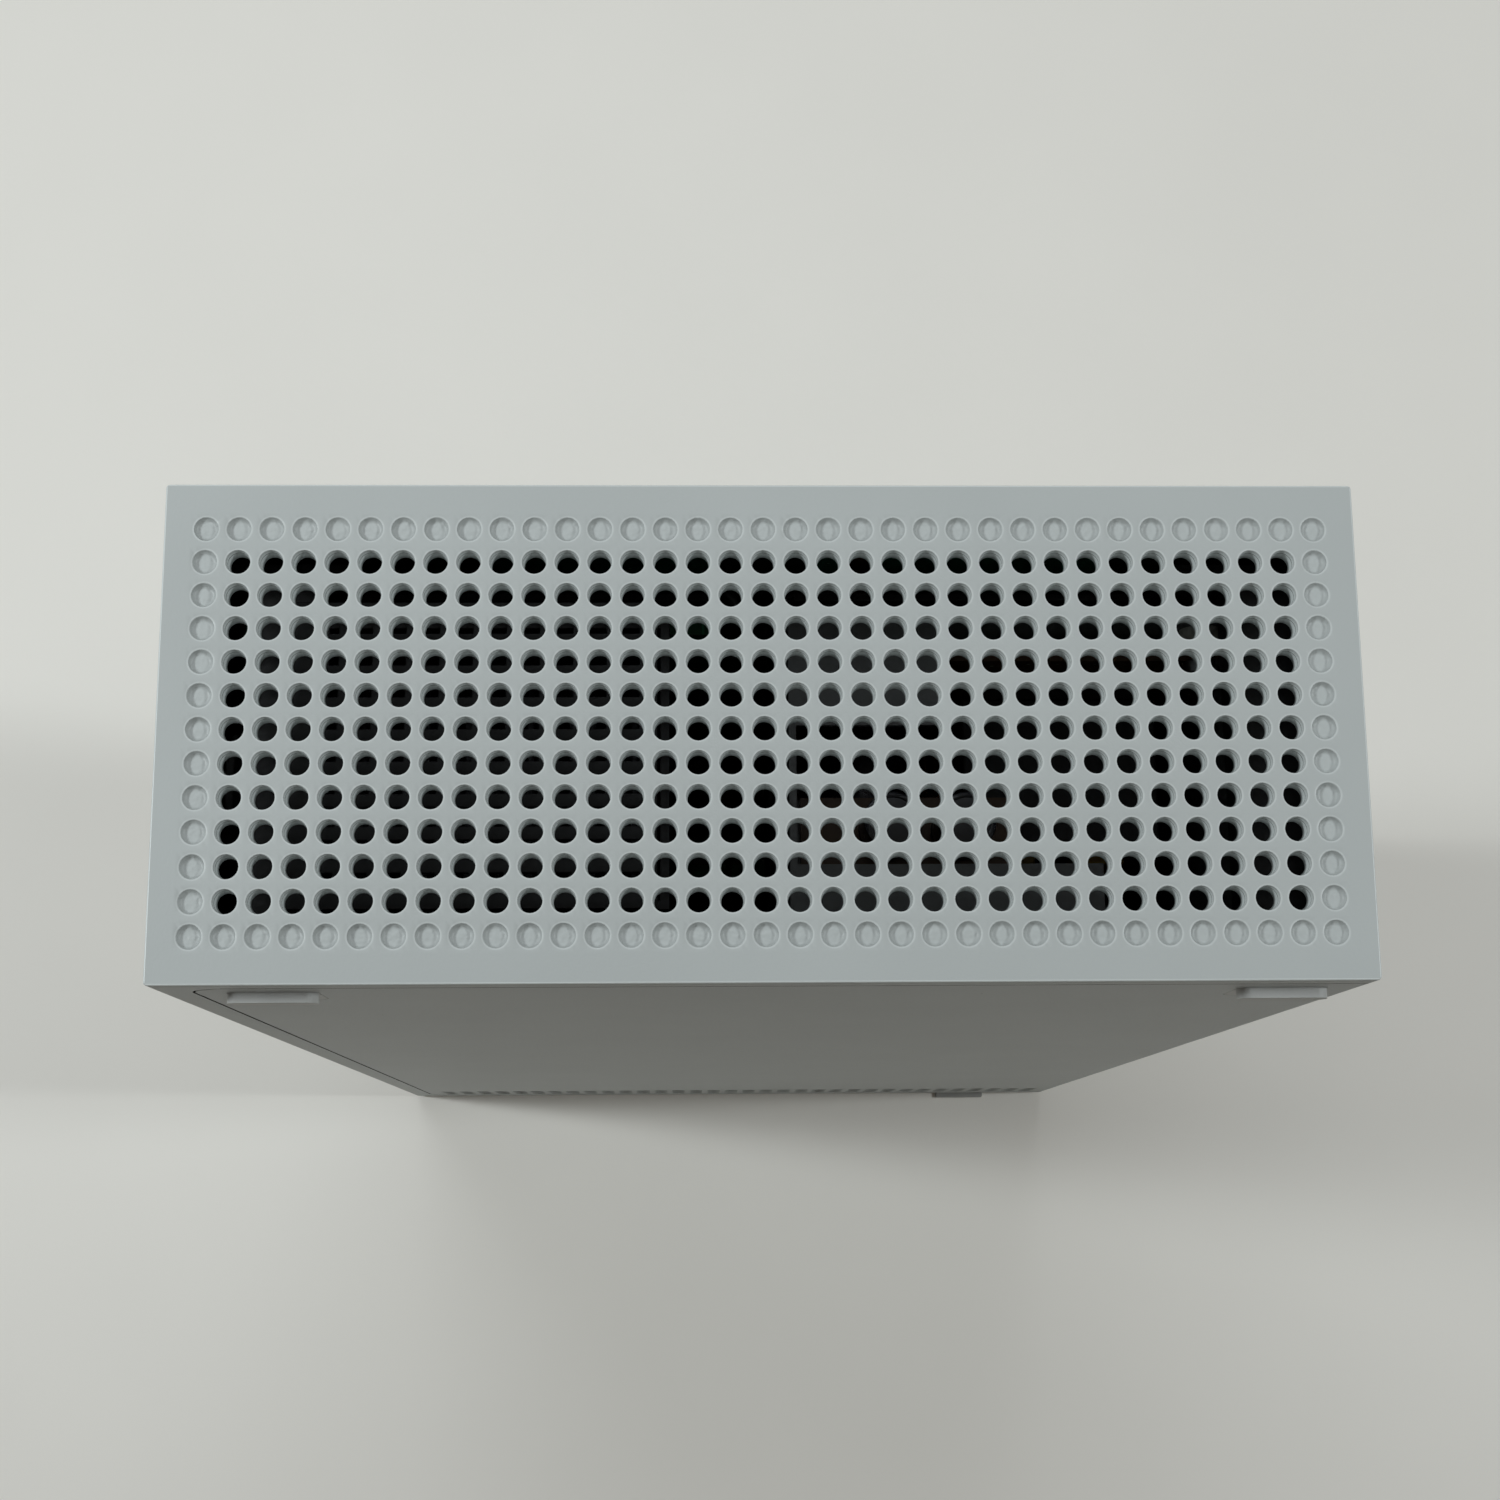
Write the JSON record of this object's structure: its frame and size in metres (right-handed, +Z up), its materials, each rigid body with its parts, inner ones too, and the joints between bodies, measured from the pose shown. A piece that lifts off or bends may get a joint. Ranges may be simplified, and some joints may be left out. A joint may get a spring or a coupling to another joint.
{
  "type": "wireless router",
  "caption": "Upright wireless router in a slim white plastic case with a fully perforated end, a removable L-shaped side cover, network sockets and a built-in mains supply.",
  "frame": {"origin": "centre of the footprint, on the surface that the base pads stand on", "axes": "+Z up to the perforated end, +Y towards the plain large face (the side cover and its feet are at -Y), +X towards the narrow side with the sockets"},
  "size_m": [0.151, 0.0646, 0.275],
  "materials": {
    "case_plastic": "fine moulded texture, satin",
    "cover_plastic": "fine moulded texture, satin",
    "grille_plastic": "smooth satin",
    "button_plastic": "satin",
    "foot_rubber": "matte",
    "pad_rubber": "matte",
    "black_steel": "satin black",
    "supply_steel": "satin dark grey",
    "inner_plastic": "matte black",
    "fan_plastic": "semi-gloss black",
    "sink_aluminium": "dark anodised",
    "thermal_rubber": "soft",
    "chip_plastic": "matte black",
    "capacitor_sleeve": "glossy sleeve",
    "board_green": "solder mask",
    "card_blue": "solder mask",
    "shield_steel": "tinned",
    "supply_board_brown": "uncoated laminate",
    "ferrite": "matte dark ferrite",
    "lead_black": "soft sleeve",
    "lead_brown": "soft sleeve",
    "ribbon_grey": "soft sleeve",
    "inlet_black": "satin black",
    "pin_metal": "polished",
    "wan_yellow": "semi-gloss",
    "lan_grey": "semi-gloss",
    "contact_gold": "plated",
    "reset_plastic": "satin",
    "switch_body": "satin",
    "led_resin": "clear resin",
    "light_pipe_clear": "clear moulding",
    "screw_steel": "zinc plated"
  },
  "bodies": {
    "case": {"main_shell": "case_plastic", "side_cover": "cover_plastic", "end_grille": "grille_plastic", "side_feet": "foot_rubber", "base_pads": "pad_rubber", "chassis": "black_steel", "exhaust_grille": "inner_plastic", "air_duct": "inner_plastic", "heat_sink": "sink_aluminium", "thermal_pad": "thermal_rubber", "processor": "chip_plastic", "heat_sink_screws": "screw_steel", "fan_frame": "inner_plastic", "fan_lead": "lead_black", "fan_screws": "screw_steel", "main_board": "board_green", "memory_chips": "chip_plastic", "board_coils": "chip_plastic", "board_capacitors": "capacitor_sleeve", "radio_card": "card_blue", "radio_shield": "shield_steel", "antenna_plates": "board_green", "antenna_leads": "lead_black", "supply_case": "supply_steel", "supply_board": "supply_board_brown", "supply_transformer": "ferrite", "supply_capacitors": "capacitor_sleeve", "supply_leads": "lead_brown", "mains_inlet": "inlet_black", "inlet_pins": "pin_metal", "wan_port": "wan_yellow", "lan_port_block": "lan_grey", "usb_port": "shield_steel", "jack_contacts": "contact_gold", "reset_switch": "switch_body", "front_board": "board_green", "button_switches": "switch_body", "status_led": "led_resin", "light_pipe": "light_pipe_clear", "front_cable": "ribbon_grey", "cover_screws": "screw_steel", "chassis_screws": "screw_steel", "board_screws": "screw_steel", "supply_screws": "screw_steel", "front_board_screws": "screw_steel"},
    "fan": {"fan_rotor": "fan_plastic"},
    "power_key": {"power_button": "button_plastic"},
    "pair_key": {"pair_button": "button_plastic"},
    "reset_key": {"reset_button": "reset_plastic"}
  },
  "joints": [
    {"name": "fan_spin", "type": "hinge", "parent": "case", "child": "fan", "pos_m": [-0.0345, -0.0025, 0.136], "axis": [0, 0, 1], "continuous": true},
    {"name": "power_press", "type": "slide", "parent": "case", "child": "power_key", "axis": [1, 0, 0], "range_m": [0, 0.0006], "stiffness_N_per_m": 800},
    {"name": "pair_press", "type": "slide", "parent": "case", "child": "pair_key", "axis": [1, 0, 0], "range_m": [0, 0.0006], "stiffness_N_per_m": 800},
    {"name": "reset_press", "type": "slide", "parent": "case", "child": "reset_key", "axis": [-1, 0, 0], "range_m": [0, 0.0005], "stiffness_N_per_m": 600}
  ]
}
